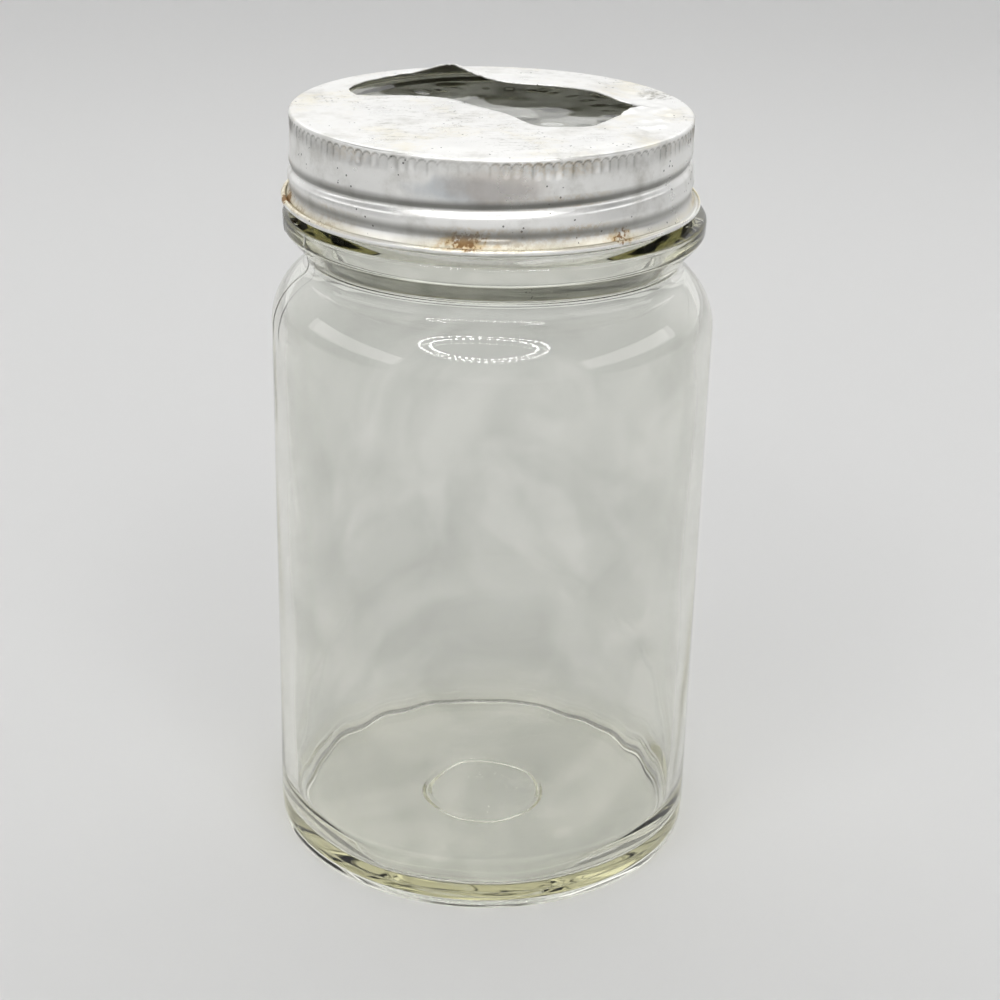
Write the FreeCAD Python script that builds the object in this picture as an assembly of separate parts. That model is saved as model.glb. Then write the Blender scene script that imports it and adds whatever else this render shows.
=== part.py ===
import FreeCAD, Part
import math
import os

# A wide-mouth canning jar of clear glass with its thin screw cap. A clear glass
# disc lies on the jar's rim under the cap, and the cap's top is torn open above it.
# Millimetres. Z points up, the origin is the centre of the jar's foot, and the
# jar's front is towards -Y. Angles round the jar are counted from the front,
# towards +X, as seen when one looks at the front.

Vec = FreeCAD.Vector
up = Vec(0, 0, 1)
centre = Vec(0, 0, 0)

# Glass jar: overall sizes
jarHeight = 169.3          # foot to rim
bodyRadius = 49.4          # outside of the straight side
wallThickness = 3.2        # side and shoulder
floorThickness = 3.0       # glass between the raised base and the inside
neckInset = 8.0            # how far the neck stands in from the side

# Glass jar: foot and base
heelRadius = 2.8           # rounding where side meets foot
mouldLineHeight = 4.9      # step left by the bottom plate of the mould
mouldStep = 0.2
footWidth = 6.8            # side to the inner edge of the foot ring
footSlope = 1.2            # run of the slope from the foot up to the raised base
footInnerRound = 0.8
baseEdgeRound = 1.0
kickUp = 0.8               # height of the raised base above the table
baseRingRadius = 13.8      # round mark under the base
baseRingBulge = 0.6
floorCorner = 7.0          # rounding inside, where side meets floor

# Glass jar: shoulder, neck and the bead under the cap
shoulderSlope = 58.0       # degrees from upright
shoulderRadius = 15.3
neckFillet = 1.6
neckBoreFillet = 4.8
beadGap = 2.2              # rolled edge of the cap to the bead's top
beadHeight = 4.0
beadUnderside = 5.5        # height of the slope from the bead in to the neck
neckHeight = 3.2           # from there down to the shoulder
beadReach = 5.15           # how far the bead stands out of the neck
beadLowRound = 2.2
beadTopRound = 0.9
ledgeRise = 0.8            # the bead's top slopes up towards the finish
ledgeFillet = 0.8

# Glass jar: threaded finish
finishInset = 0.2          # the finish is this much slimmer than the neck
finishWall = 3.3
rimOuterRound = 1.2
rimInnerRound = 0.8
threadPitch = 6.35
threadHeight = 1.0         # of the glass thread, out of the finish
coilPiece = 80.0           # a screw line is made in pieces of at most this many degrees

# Glass disc under the cap
linerThickness = 3.0
linerInset = 0.9           # how far its edge stands in from the finish
linerRound = 1.0
linerPanelDepth = 0.6      # shallow round recess in its top
linerRimWidth = 6.8        # flat ring round the recess
linerPanelSlope = 1.2      # run of the slope from the ring into the recess
linerPanelRound = 0.3

# Cap
sheetThickness = 0.4
capPlay = 1.15             # glass thread to the inside of the skirt, all round when centred
capRestGap = 0.1           # what is left of it where the cap leans against the thread
capTopRound = 0.9
bandHeight = 9.0           # from the top to where the skirt starts to swell
swellHeight = 5.0          # from there to the fullest place
swellReach = 0.55
waistHeight = 2.4          # from there to the lower waist
waistReach = 0.1
flareHeight = 2.45         # from there to the middle of the rolled edge
curlReach = 1.3            # skirt to the middle of the rolled edge
curlTube = 0.75
skirtBend = 3.0            # rounding of the skirt's bends
waistBend = 1.2
grooveDepth = 0.6          # of the rolled screw thread, into the skirt
grooveTube = 1.3
grooveBelowBand = 2.4      # from the plain band to the thread, at the front
grooveFall = 5.03          # the thread starts this much lower than it is at the front
grooveRise = 1.94          # and ends this much higher, past the front
knurlCount = 130
knurlTube = 0.5
knurlHeight = 0.25
knurlTop = 0.9
knurlBottom = 3.75

# Torn opening in the cap's top, seen from above and measured from the cap's
# middle: the near edge lies flat and the far edge is bent up. Its places are
# given for a panel of tearPanel, and spread or shrink with the real panel.
ringWidth = 4.25           # flat outer ring of the top, outside the panel
tearPanel = 39.5
tearNear = [(-33.0, 13.0), (-30.0, 9.3), (-25.0, 9.5), (-18.0, 10.0), (-9.5, 8.1), (-3.5, 2.0),
            (3.0, -5.0), (6.6, -11.0), (9.8, -15.6), (15.8, -15.9), (20.6, -14.5), (23.3, -11.2),
            (27.0, -4.6), (31.6, 4.4)]
tearFar = [(31.6, 4.4), (26.8, 7.6), (19.5, 12.9), (12.3, 15.7), (6.1, 17.0), (1.4, 19.4),
           (-2.3, 23.2), (-6.0, 28.4), (-9.5, 30.0), (-15.1, 27.6), (-19.5, 25.7), (-27.0, 23.8),
           (-32.0, 19.0), (-33.0, 13.0)]
lipLift = 1.8              # of the bent far edge
peakLift = 1.35            # more, at its highest place
peakAt = -10.0
peakWidth = 4.5
lipLeft = -33.0
lipRight = 33.0
lipFade = 14.0             # the lift fades out over this at both ends
bendWidth = 8.5            # from the ring inwards the sheet bends up
nearLine = 4.5             # the sheet is flat on the near side of a line through here
nearTilt = -0.35           # which runs aslant across the opening
nearFade = 8.0
panelRise = 0.1            # the panel inside the ring stands this much higher
tearSteps = 48             # facets along each of the tear's two edges
panelSteps = 6             # facets from the tear out to the ring
panelLap = 0.5             # the panel runs this far into the ring
poleX = -2.0               # every place on the panel is seen from here, through the opening
poleY = 14.0

# Worked out from the sizes above
neckRadius = bodyRadius - neckInset
finishRadius = neckRadius - finishInset
mouthRadius = finishRadius - finishWall
beadRadius = neckRadius + beadReach
innerRadius = bodyRadius - wallThickness
slope = math.radians(shoulderSlope)
linerRadius = finishRadius - linerInset
linerPanelRadius = linerRadius - linerRimWidth
skirtRadius = finishRadius + threadHeight + capPlay + sheetThickness
capShift = capPlay - capRestGap     # the cap sits this far off centre, towards -X
capTop = jarHeight + linerThickness + sheetThickness
swellDepth = bandHeight + swellHeight
waistDepth = swellDepth + waistHeight
curlDepth = waistDepth + flareHeight
beadTop = capTop - curlDepth - curlTube - beadGap
beadFoot = beadTop - beadHeight - beadUnderside
neckFoot = beadFoot - neckHeight
grooveStart = -360.0 * grooveFall / threadPitch    # degrees from the front, towards +X
grooveEnd = 360.0 * grooveRise / threadPitch
panelRadius = skirtRadius - ringWidth
tearScale = panelRadius / tearPanel


def smooth(t):
    # 0 below 0, 1 above 1, and 3t^2 - 2t^3 between
    t = min(max(t, 0.0), 1.0)
    return t * t * (3.0 - 2.0 * t)


def roundedEdges(corners, closed):
    # corners are (radius from the axis, height, rounding): straight runs joined by
    # tangent arcs, in the XZ plane. Where two roundings need more than the run
    # between them, both are reduced to fit it.
    count = len(corners)
    points = [Vec(c[0], 0, c[1]) for c in corners]
    reach = []
    for i in range(count):
        if not closed and i in (0, count - 1):
            reach.append(0.0)
            continue
        before = points[i] - points[i - 1]
        after = points[(i + 1) % count] - points[i]
        reach.append(corners[i][2] * math.tan(before.getAngle(after) / 2.0))
    for i in range(count if closed else count - 1):
        j = (i + 1) % count
        length = points[i].distanceToPoint(points[j])
        if reach[i] + reach[j] > length:
            share = 0.999 * length / (reach[i] + reach[j])
            reach[i] *= share
            reach[j] *= share
    edges = []
    last = None
    first = None
    for i in range(count):
        if reach[i] < 1e-6:
            start = points[i]
            end = points[i]
        else:
            back = (points[i - 1] - points[i]).normalize()
            ahead = (points[(i + 1) % count] - points[i]).normalize()
            start = points[i] + back * reach[i]
            end = points[i] + ahead * reach[i]
        if last is not None and last.distanceToPoint(start) > 1e-5:
            edges.append(Part.LineSegment(last, start).toShape())
        if reach[i] >= 1e-6:
            half = back.getAngle(ahead) / 2.0
            arcRadius = reach[i] * math.tan(half)
            towards = (back + ahead).normalize()
            middle = points[i] + towards * (arcRadius / math.sin(half) - arcRadius)
            edges.append(Part.Arc(start, middle, end).toShape())
        if first is None:
            first = start
        last = end
    if closed and last.distanceToPoint(first) > 1e-5:
        edges.append(Part.LineSegment(last, first).toShape())
    return edges


def turned(corners):
    # solid of revolution of a closed outline
    face = Part.Face(Part.Wire(roundedEdges(corners, True)))
    return face.revolve(centre, up, 360)


def coil(tube, radius, startAngle, endAngle, startHeight):
    # round rod along a right-hand screw line, in equal pieces end to end, with
    # ball ends
    count = int(math.ceil((endAngle - startAngle) / coilPiece))
    step = (endAngle - startAngle) / count
    rise = threadPitch * step / 360.0
    line = Part.makeHelix(threadPitch, rise, radius)
    edge = line.Edges[0]
    begin = edge.valueAt(edge.FirstParameter)
    section = Part.Wire([Part.makeCircle(tube, begin, edge.tangentAt(edge.FirstParameter))])
    piece = line.makePipeShell([section], True, True)
    ball = Part.makeSphere(tube, begin)
    pieces = []
    for i in range(count + 1):
        shapes = [piece] if i < count else []
        if i in (0, count):
            shapes.append(ball)
        for shape in shapes:
            placed = shape.copy()
            placed.rotate(centre, up, startAngle - 90.0 + i * step)
            placed.translate(Vec(0, 0, startHeight + i * rise))
            pieces.append(placed)
    return pieces[0].multiFuse(pieces[1:])


def grooveHeight(angle):
    # height of the cap's screw line at an angle from the front
    return capTop - bandHeight - grooveBelowBand + threadPitch * angle / 360.0


def makeJar():
    bodyTop = neckFoot - neckInset / math.tan(slope)
    boreLow = bodyTop - wallThickness * math.tan(slope / 2.0)
    boreHigh = boreLow + (innerRadius - mouthRadius) / math.tan(slope)
    footInner = bodyRadius - footWidth
    floorTop = kickUp + floorThickness
    lineRadius = bodyRadius - mouldStep
    outline = [
        (0, kickUp, 0),
        (footInner - footSlope, kickUp, baseEdgeRound),
        (footInner, 0, footInnerRound),
        (lineRadius, 0, heelRadius),
        (lineRadius, mouldLineHeight - mouldStep, 0),
        (bodyRadius, mouldLineHeight, 0),
        (bodyRadius, bodyTop, shoulderRadius),
        (neckRadius, neckFoot, neckFillet),
        (neckRadius, beadFoot, ledgeFillet),
        (beadRadius, beadTop - beadHeight, beadLowRound),
        (beadRadius, beadTop, beadTopRound),
        (finishRadius, beadTop + ledgeRise, ledgeFillet),
        (finishRadius, jarHeight, rimOuterRound),
        (mouthRadius, jarHeight, rimInnerRound),
        (mouthRadius, boreHigh, neckBoreFillet),
        (innerRadius, boreLow, shoulderRadius - wallThickness),
        (innerRadius, floorTop, floorCorner),
        (0, floorTop, 0),
    ]
    jar = turned(outline)
    ring = Part.makeTorus(baseRingRadius, baseRingBulge, Vec(0, 0, kickUp))
    thread = coil(threadHeight, finishRadius, grooveStart, grooveEnd,
                  grooveHeight(grooveStart) + threadPitch / 2.0)
    return jar.fuse(ring).fuse(thread)


def makeLiner():
    top = jarHeight + linerThickness
    panel = top - linerPanelDepth
    outline = [
        (0, jarHeight, 0),
        (linerRadius, jarHeight, linerRound),
        (linerRadius, top, linerRound),
        (linerPanelRadius, top, linerPanelRound),
        (linerPanelRadius - linerPanelSlope, panel, linerPanelRound),
        (0, panel, 0),
    ]
    return turned(outline)


def liftAt(x, y):
    # how far the torn sheet is bent up at a place on a panel of tearPanel
    ends = smooth((x - lipLeft) / lipFade) * smooth((lipRight - x) / lipFade)
    along = lipLift * ends + peakLift * math.exp(-((x - peakAt) / peakWidth) ** 2)
    inwards = smooth((tearPanel - math.hypot(x, y)) / bendWidth)
    return along * inwards * smooth((y - nearLine - nearTilt * x) / nearFade)


def edgePlaces(points):
    # even places along a smooth curve through the points, without the last one
    curve = Part.BSplineCurve()
    curve.interpolate([Vec(x, y, 0) * tearScale for x, y in points])
    return curve.discretize(tearSteps + 1)[:-1]


def panelColumns():
    # each column runs from a place on the tear straight out to the ring, as seen
    # from the pole
    outside = panelRadius + panelLap
    pole = Vec(poleX, poleY, 0) * tearScale
    columns = []
    for edge in edgePlaces(tearNear) + edgePlaces(tearFar):
        way = (edge - pole).normalize()
        along = way.dot(pole)
        distance = -along + math.sqrt(along * along - pole.dot(pole) + outside * outside)
        rim = pole + way * distance
        columns.append([edge + (rim - edge) * (j / panelSteps) for j in range(panelSteps + 1)])
    return columns


def triangle(a, b, c):
    return Part.Face(Part.makePolygon([a, b, c, a]))


def makeTornPanel():
    # a faceted sheet from the tear's edge out into the flat ring
    top = []
    for column in panelColumns():
        lifts = [liftAt(p.x / tearScale, p.y / tearScale) for p in column]
        top.append([Vec(p.x, p.y, panelRise + lift) for p, lift in zip(column, lifts)])
    below = Vec(0, 0, -sheetThickness)
    faces = []
    for i in range(len(top)):
        left = top[i - 1]
        right = top[i]
        for j in range(panelSteps):
            for a, b, c in ((left[j], left[j + 1], right[j + 1]), (left[j], right[j + 1], right[j])):
                faces.append(triangle(a, b, c))
                faces.append(triangle(a + below, c + below, b + below))
        for a, b in ((left[0], right[0]), (right[-1], left[-1])):
            faces.append(triangle(a, b, b + below))
            faces.append(triangle(a, b + below, a + below))
    return Part.Solid(Part.Shell(faces))


def makeSkirt():
    # the outer line of the sheet, from the flat ring of the top down to the curl
    line = [
        (panelRadius, 0, 0),
        (skirtRadius, 0, capTopRound),
        (skirtRadius, -bandHeight, skirtBend),
        (skirtRadius + swellReach, -swellDepth, skirtBend),
        (skirtRadius + waistReach, -waistDepth, waistBend),
        (skirtRadius + curlReach, -curlDepth + curlTube / 2.0, 0),
    ]
    outer = Part.Wire(roundedEdges(line, False))
    inner = outer.makeOffset2D(-sheetThickness, 0, False, True)
    if inner.BoundBox.ZMax > outer.BoundBox.ZMax - sheetThickness / 2.0:
        inner = outer.makeOffset2D(sheetThickness, 0, False, True)
    outerEnds = outer.OrderedVertexes[0].Point, outer.OrderedVertexes[-1].Point
    innerEnds = inner.OrderedVertexes[0].Point, inner.OrderedVertexes[-1].Point
    if outerEnds[0].distanceToPoint(innerEnds[0]) > outerEnds[0].distanceToPoint(innerEnds[1]):
        innerEnds = innerEnds[1], innerEnds[0]
    caps = [Part.LineSegment(a, b).toShape() for a, b in zip(outerEnds, innerEnds)]
    section = Part.Face(Part.Wire(Part.__sortEdges__(outer.Edges + inner.Edges + caps)))
    skirt = section.revolve(centre, up, 360)
    curl = Part.makeTorus(skirtRadius + curlReach, curlTube, Vec(0, 0, -curlDepth))
    return skirt.fuse(curl)


def makeRibs():
    ribCentre = skirtRadius + knurlHeight - knurlTube
    ribs = []
    for i in range(knurlCount):
        turn = 2.0 * math.pi * i / knurlCount
        place = Vec(ribCentre * math.cos(turn), ribCentre * math.sin(turn), -knurlBottom)
        ribs.append(Part.makeCylinder(knurlTube, knurlBottom - knurlTop, place))
    return ribs


def makeCap():
    # the rolled screw thread: a bulge inside the skirt, hollowed from outside
    lineRadius = skirtRadius + grooveTube - grooveDepth
    startHeight = grooveHeight(grooveStart) - capTop
    bulge = coil(grooveTube + sheetThickness, lineRadius, grooveStart, grooveEnd, startHeight)
    inside = Part.makeCylinder(skirtRadius - sheetThickness / 2.0, 2 * curlDepth, Vec(0, 0, -1.5 * curlDepth))
    groove = coil(grooveTube, lineRadius, grooveStart, grooveEnd, startHeight)
    cap = makeSkirt().fuse(bulge.common(inside)).cut(groove)
    cap = cap.fuse(makeTornPanel())
    cap = cap.multiFuse(makeRibs())
    cap.translate(Vec(-capShift, 0, capTop))
    return cap


def save(shape, name):
    solids = shape.Solids
    print(name, "solids", len(solids), "valid", shape.isValid(), "volume", round(shape.Volume, 1),
          "faces", len(shape.Faces), "top", round(shape.BoundBox.ZMax, 3))
    (solids[0] if len(solids) == 1 else shape).exportStep("parts/" + name + ".step")


os.makedirs("parts", exist_ok=True)
save(makeJar(), "jar")
save(makeLiner(), "liner")
save(makeCap(), "cap")
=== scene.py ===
import math
import bpy
import numpy as np
from mathutils import Matrix, Vector


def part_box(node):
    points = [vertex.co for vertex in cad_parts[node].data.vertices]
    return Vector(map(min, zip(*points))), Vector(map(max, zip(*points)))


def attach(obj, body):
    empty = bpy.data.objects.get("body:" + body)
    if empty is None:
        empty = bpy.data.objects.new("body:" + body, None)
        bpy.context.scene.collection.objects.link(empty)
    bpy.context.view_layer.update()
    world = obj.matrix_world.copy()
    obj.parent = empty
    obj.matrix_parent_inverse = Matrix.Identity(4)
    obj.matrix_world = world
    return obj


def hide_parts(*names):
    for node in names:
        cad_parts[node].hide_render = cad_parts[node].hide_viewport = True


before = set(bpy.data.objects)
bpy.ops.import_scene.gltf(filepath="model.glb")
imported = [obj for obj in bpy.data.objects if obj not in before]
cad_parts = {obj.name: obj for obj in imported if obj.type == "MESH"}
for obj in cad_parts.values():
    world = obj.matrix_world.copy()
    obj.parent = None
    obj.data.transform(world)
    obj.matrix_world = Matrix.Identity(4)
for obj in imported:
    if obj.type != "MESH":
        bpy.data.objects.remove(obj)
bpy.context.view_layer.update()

# An empty wide-mouth canning jar of clear glass, a thin torn screw cap, and the
# clear glass disc between them. Shapes are worked out in millimetres, in the
# frame's own axes: Z up, the front towards -Y. Angles round the jar are counted
# in radians from the front, towards +X.
mm = 0.001
fullTurn = 2.0 * math.pi


def nodeBox(name):
    # lowest and highest corner of a CAD node, in millimetres
    return [np.array(corner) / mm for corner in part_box(name)]


jarLow, jarHigh = nodeBox("jar")
linerLow, linerHigh = nodeBox("liner")
capLow, capHigh = nodeBox("cap")


def smoothStep(t):
    # 3t^2 - 2t^3 between 0 and 1
    t = np.clip(t, 0.0, 1.0)
    return t * t * (3.0 - 2.0 * t)


def bell(t):
    # exp(-t^2)
    return np.exp(-np.square(t))


def ripple(x, y, size, seed):
    # sum of 12 sine waves of about the given size, in directions and phases that
    # the seed picks; about -1 to 1
    draw = np.random.default_rng(seed)
    way = draw.uniform(0.0, fullTurn, 12)
    pace = fullTurn / size * draw.uniform(0.6, 1.6, 12)
    phase = draw.uniform(0.0, fullTurn, 12)
    x, y = np.asarray(x, float)[..., None], np.asarray(y, float)[..., None]
    return np.sin((x * np.cos(way) + y * np.sin(way)) * pace + phase).sum(-1) / 4.0


def evenAngles(count):
    # equal steps once round
    return fullTurn * np.arange(count) / count


def wrapAngle(angle):
    # the same angle between minus and plus half a turn
    return (angle + math.pi) % fullTurn - math.pi


def roundAxis(radius, height, angle):
    # a place at a radius and height, at an angle from the front towards +X
    return np.stack([radius * np.sin(angle), -radius * np.cos(angle), height + 0.0 * angle], -1)


def roundedLine(corners, spacing):
    # corners (x, y, rounding): straight runs joined by tangent arcs, each arc taken
    # at equal angles and each run at equal steps no longer than spacing
    points = np.array([corner[:2] for corner in corners], float)
    reach = np.zeros(len(corners))  # from each corner to the start of its arc
    for i in range(1, len(corners) - 1):
        back, ahead = points[i - 1] - points[i], points[i + 1] - points[i]
        cosine = np.dot(back, ahead) / np.linalg.norm(back) / np.linalg.norm(ahead)
        turn = math.pi - math.acos(max(-1.0, min(1.0, cosine)))
        reach[i] = corners[i][2] * math.tan(turn / 2.0)
    for i in range(len(corners) - 1):  # arcs that would overlap shrink
        length = np.linalg.norm(points[i + 1] - points[i])
        if reach[i] + reach[i + 1] > length:
            reach[i:i + 2] *= 0.999 * length / (reach[i] + reach[i + 1])
    line = [points[0][None]]
    for i in range(1, len(corners)):
        back = points[i - 1] - points[i]
        back = back / np.linalg.norm(back)
        start, before = line[-1][-1], points[i] + back * reach[i]
        steps = max(1, math.ceil(np.linalg.norm(before - start) / spacing))
        line.append(start + (before - start) * (np.arange(1, steps + 1) / steps)[:, None])
        if reach[i] > 1e-6:
            ahead = points[i + 1] - points[i]
            ahead = ahead / np.linalg.norm(ahead)
            half = math.acos(max(-1.0, min(1.0, np.dot(back, ahead)))) / 2.0
            radius, turn = reach[i] * math.tan(half), math.pi - 2.0 * half
            middle = points[i] + (back + ahead) / np.linalg.norm(back + ahead) * radius / math.sin(half)
            x, y = before - middle
            steps = max(3, math.ceil(radius * turn / min(spacing, 0.5 * radius + 0.1)))
            sense = 1.0 if np.cross(back, ahead) < 0 else -1.0
            angle = sense * turn * np.arange(1, steps + 1) / steps
            line.append(middle + np.stack([x * np.cos(angle) - y * np.sin(angle),
                                           x * np.sin(angle) + y * np.cos(angle)], -1))
    return np.concatenate(line)


def smoothLine(points, steps):
    # Catmull-Rom line: each run is the cubic whose slope at a point is half the way
    # between the point's two neighbours
    p = np.array(points, float)
    p = np.concatenate([2.0 * p[:1] - p[1:2], p, 2.0 * p[-1:] - p[-2:-1]])
    t = (np.arange(steps) / steps)[None, :, None]
    a, b, c, d = p[:-3, None], p[1:-2, None], p[2:-1, None], p[3:, None]
    line = 0.5 * (2.0 * b + (c - a) * t + (2.0 * a - 5.0 * b + 4.0 * c - d) * t ** 2
                  + (3.0 * b - 3.0 * c + d - a) * t ** 3)
    return line.reshape(-1, p.shape[1])


def surfaceMesh(name, grid, startPole=None, endPole=None, closedRows=False):
    # grid[row, column] are points in millimetres. Columns close round, rows close
    # when closedRows is set, and a pole closes the first or the last row to a point.
    rows, columns = grid.shape[:2]
    index = np.arange(rows * columns).reshape(rows, columns)
    nextColumn = np.roll(index, -1, axis=1)
    last = rows if closedRows else rows - 1
    upper, upperNext = (np.roll(part, -1, axis=0)[:last] for part in (index, nextColumn))
    quads = np.stack([index[:last], nextColumn[:last], upperNext, upper], -1).reshape(-1, 4)
    points, fans = [grid.reshape(-1, 3)], [np.zeros((0, 3), int)]
    for pole, ring, following in ((startPole, nextColumn[0], index[0]),
                                  (endPole, index[-1], nextColumn[-1])):
        if pole is not None:
            tip = rows * columns + len(points) - 1
            points.append(np.array(pole, float)[None])
            fans.append(np.stack([ring, following, np.full(columns, tip)], -1))
    points, fans = np.concatenate(points), np.concatenate(fans)
    triangles = np.concatenate([quads[:, [0, 1, 2]], quads[:, [0, 2, 3]], fans])
    a, b, c = (points[triangles[:, k]] for k in range(3))
    if np.einsum("ij,ij->", a, np.cross(b, c)) < 0.0:  # inside out: turn every face round
        quads, fans = quads[:, ::-1], fans[:, ::-1]
    loops = np.concatenate([quads.ravel(), fans.ravel()])
    sizes = np.concatenate([np.full(len(quads), 4), np.full(len(fans), 3)])
    mesh = bpy.data.meshes.new(name)
    mesh.vertices.add(len(points))
    mesh.vertices.foreach_set("co", (points * mm).ravel())
    mesh.loops.add(len(loops))
    mesh.loops.foreach_set("vertex_index", loops)
    mesh.polygons.add(len(sizes))
    mesh.polygons.foreach_set("loop_start", np.concatenate([[0], np.cumsum(sizes)[:-1]]))
    mesh.polygons.foreach_set("use_smooth", np.ones(len(sizes), bool))
    mesh.update(calc_edges=True)
    mesh.validate()
    piece = bpy.data.objects.new(name, mesh)
    bpy.context.scene.collection.objects.link(piece)
    return piece


jar = {
    "bodyRadius": (jarHigh[0] - jarLow[0]) / 2.0, "height": jarHigh[2],
    "wall": 3.2, "floor": 3.0, "neckInset": 8.0,
    # foot ring, raised base and heel
    "footWidth": 3.6, "footSlope": 1.2, "footRound": 0.8, "kickUp": 0.8, "kickRound": 1.0, "heelRound": 1.6,
    # small step of the mould's bottom plate, kept crisp by a point above and below it
    "mouldLine": 4.9, "mouldStep": 0.2, "mouldRound": 0.2, "mouldMargin": 0.5,
    # round mark under the base: a groove upside down
    "markRadius": 13.8, "markHalf": 0.9, "markDepth": 0.65, "markRound": 0.4, "markEdgeRound": 0.3,
    # the side thickens towards the floor
    "haunch": 1.3, "haunchHeight": 8.0, "haunchLow": 0.2, "haunchRound": 12.0,
    "floorCorner": 2.0, "floorCornerWidth": 3.0,
    "shoulderSlope": 58.0, "shoulderRound": 15.3, "neckDrop": 31.1, "neckRound": 3.0, "neckBoreRound": 7.0,
    "beadFootDrop": 27.9, "beadLowDrop": 21.8, "beadTopDrop": 18.4, "beadReach": 5.15,
    "beadFootRound": 4.5, "beadLowRound": 2.2, "beadTopRound": 0.9, "ledgeRise": 0.8, "ledgeRound": 0.8,
    "finishInset": 0.2, "finishWall": 3.3, "rimOuterRound": 1.2, "rimInnerRound": 0.8,
    # two upright seams of the mould: ridges on the shoulder and neck
    "seamAt": (-77.0, 103.0), "seamRise": 0.09, "seamWidth": 0.35, "seamClear": 1.7,
    "seamColumns": [-1.44, -0.96, -0.6, -0.36, -0.18, 0.0, 0.18, 0.36, 0.6, 0.96, 1.44],
    "seamStart": 12.0, "seamFade": 6.0,
    # waves of the pressed glass: how high and how long they are
    "outerWave": 0.04, "outerOffset": 0.6, "innerWave": 0.10, "waveSize": 30.0,
    "fineShare": 0.4, "fineSize": 15.0,
    "waveStart": 8.0, "waveStartFade": 14.0, "waveEnd": 4.0, "waveEndFade": 12.0,
    "cornerWave": 0.5, "cornerWaveSize": 48.0, "cornerWaveRing": 40.0, "cornerWaveWidth": 4.0,
    "cornerWaveStart": 25.0, "cornerWaveFade": 14.0,
    "floorWave": 0.16, "floorWaveSize": 26.0, "floorWaveEnd": 38.0, "floorWaveFade": 12.0,
    "floorWaveHeight": 20.0,
    "columns": 264, "spacing": 1.5,
}


def jarProfile(p):
    # one closed profile from the middle of the base, up outside, over the rim and
    # down inside; also the height where the straight side ends
    slope = math.radians(p["shoulderSlope"])
    neck = p["bodyRadius"] - p["neckInset"]
    finish = neck - p["finishInset"]
    mouth = finish - p["finishWall"]
    inner = p["bodyRadius"] - p["wall"]
    bead = neck + p["beadReach"]
    bodyTop = p["height"] - p["neckDrop"] - p["neckInset"] / math.tan(slope)
    boreLow = bodyTop - p["wall"] * math.tan(slope / 2.0)
    boreHigh = boreLow + (inner - mouth) / math.tan(slope)
    foot = p["bodyRadius"] - p["footWidth"]
    floorTop = p["kickUp"] + p["floor"]
    below, stepLow = p["bodyRadius"] - p["mouldStep"], p["mouldLine"] - p["mouldStep"]
    beadTop = p["height"] - p["beadTopDrop"]
    corners = [
        (0.0, p["kickUp"], 0.0),
        (p["markRadius"] - p["markHalf"], p["kickUp"], p["markEdgeRound"]),
        (p["markRadius"], p["kickUp"] - p["markDepth"], p["markRound"]),
        (p["markRadius"] + p["markHalf"], p["kickUp"], p["markEdgeRound"]),
        (foot - p["footSlope"], p["kickUp"], p["kickRound"]),
        (foot, 0.0, p["footRound"]),
        (below, 0.0, p["heelRound"]),
        (below, stepLow - p["mouldMargin"], 0.0),
        (below, stepLow, p["mouldRound"]),
        (p["bodyRadius"], p["mouldLine"], p["mouldRound"]),
        (p["bodyRadius"], p["mouldLine"] + p["mouldMargin"], 0.0),
        (p["bodyRadius"], bodyTop, p["shoulderRound"]),
        (neck, p["height"] - p["neckDrop"], p["neckRound"]),
        (neck, p["height"] - p["beadFootDrop"], p["beadFootRound"]),
        (bead, p["height"] - p["beadLowDrop"], p["beadLowRound"]),
        (bead, beadTop, p["beadTopRound"]),
        (finish, beadTop + p["ledgeRise"], p["ledgeRound"]),
        (finish, p["height"], p["rimOuterRound"]),
        (mouth, p["height"], p["rimInnerRound"]),
        (mouth, boreHigh, p["neckBoreRound"]),
        (inner, boreLow, p["shoulderRound"] - p["wall"]),
        (inner, floorTop + p["haunchHeight"], p["haunchRound"]),
        (inner - p["haunch"], floorTop + p["haunchLow"] * p["haunchHeight"], p["floorCorner"]),
        (inner - p["haunch"] - p["floorCornerWidth"], floorTop, p["floorCorner"]),
        (0.0, floorTop, 0.0),
    ]
    return roundedLine(corners, p["spacing"]), bodyTop


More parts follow.
